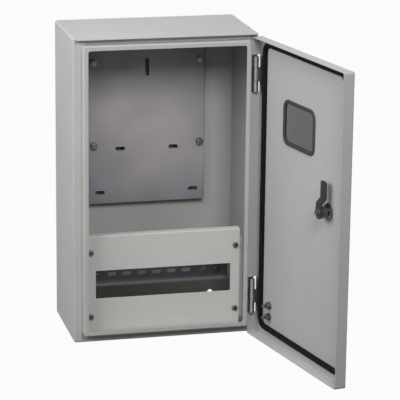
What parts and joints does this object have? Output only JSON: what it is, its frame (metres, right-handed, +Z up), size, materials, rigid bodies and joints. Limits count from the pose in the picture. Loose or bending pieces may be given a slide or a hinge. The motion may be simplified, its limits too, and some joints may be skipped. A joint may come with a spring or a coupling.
{
  "type": "electric meter cabinet",
  "caption": "Wall-mounted steel electric meter cabinet with a meter plate, a covered rail for modular devices and a hinged, gasketed door with a window and a cam lock.",
  "frame": {"origin": "centre of the four wall holes, on the outer back face", "axes": "+Z up, +Y into the wall, so the front looks along -Y; +X to the right of a person facing the cabinet"},
  "size_m": [0.3678, 0.4582, 0.5024],
  "materials": {
    "powder_coat": "light grey powder coat, fine orange-peel texture, half matt",
    "galvanised_sheet": "zinc-plated sheet, satin",
    "zinc_fastener": "dull passivated zinc plating",
    "hinge_steel": "zinc-plated steel, satin",
    "black_rubber": "soft black rubber, matt",
    "grey_rubber": "grey rubber, matt",
    "smoked_pane": "smoke-grey clear plastic pane",
    "bar_brass": "drawn brass",
    "blue_plastic": "moulded plastic",
    "green_plastic": "moulded plastic",
    "lock_chrome": "die-cast zinc with dark nickel plating",
    "cam_steel": "dark oiled steel"
  },
  "bodies": {
    "cabinet": {"body_wrap": "powder_coat", "back_panel": "powder_coat", "front_frame": "powder_coat", "cable_grommets": "grey_rubber", "hinge_body_leaves": "hinge_steel", "hinge_pins": "hinge_steel", "meter_plate": "galvanised_sheet", "plate_standoffs": "zinc_fastener", "plate_nuts": "zinc_fastener", "cover_bracket_left": "powder_coat", "cover_bracket_right": "powder_coat", "lower_cover": "powder_coat", "cover_screws": "zinc_fastener", "din_rail": "galvanised_sheet", "rail_supports": "galvanised_sheet", "rail_screws": "zinc_fastener", "neutral_bar": "bar_brass", "neutral_bar_feet": "blue_plastic", "neutral_screws": "zinc_fastener", "earth_bar": "bar_brass", "earth_bar_feet": "green_plastic", "earth_screws": "zinc_fastener", "body_earth_stud": "zinc_fastener", "body_earth_nut": "zinc_fastener"},
    "door": {"door_panel": "powder_coat", "door_gasket": "black_rubber", "window_seal": "black_rubber", "window_pane": "smoked_pane", "hinge_door_leaves": "hinge_steel", "door_earth_studs": "zinc_fastener", "door_earth_nuts": "zinc_fastener", "lock_housing": "lock_chrome", "lock_nut": "lock_chrome"},
    "lock_rotor": {"lock_plug": "lock_chrome", "lock_cam": "cam_steel", "cam_screw": "zinc_fastener"}
  },
  "joints": [
    {"name": "door_swing", "type": "hinge", "parent": "cabinet", "child": "door", "pos_m": [0.144, -0.1695, 0], "axis": [0, 0, 1], "range_deg": [-102, 8]},
    {"name": "lock_turn", "type": "hinge", "parent": "door", "child": "lock_rotor", "pos_m": [0.1914, -0.39252, 0.015], "axis": [0.9781, 0.2079, 0], "range_deg": [0, 90]}
  ]
}
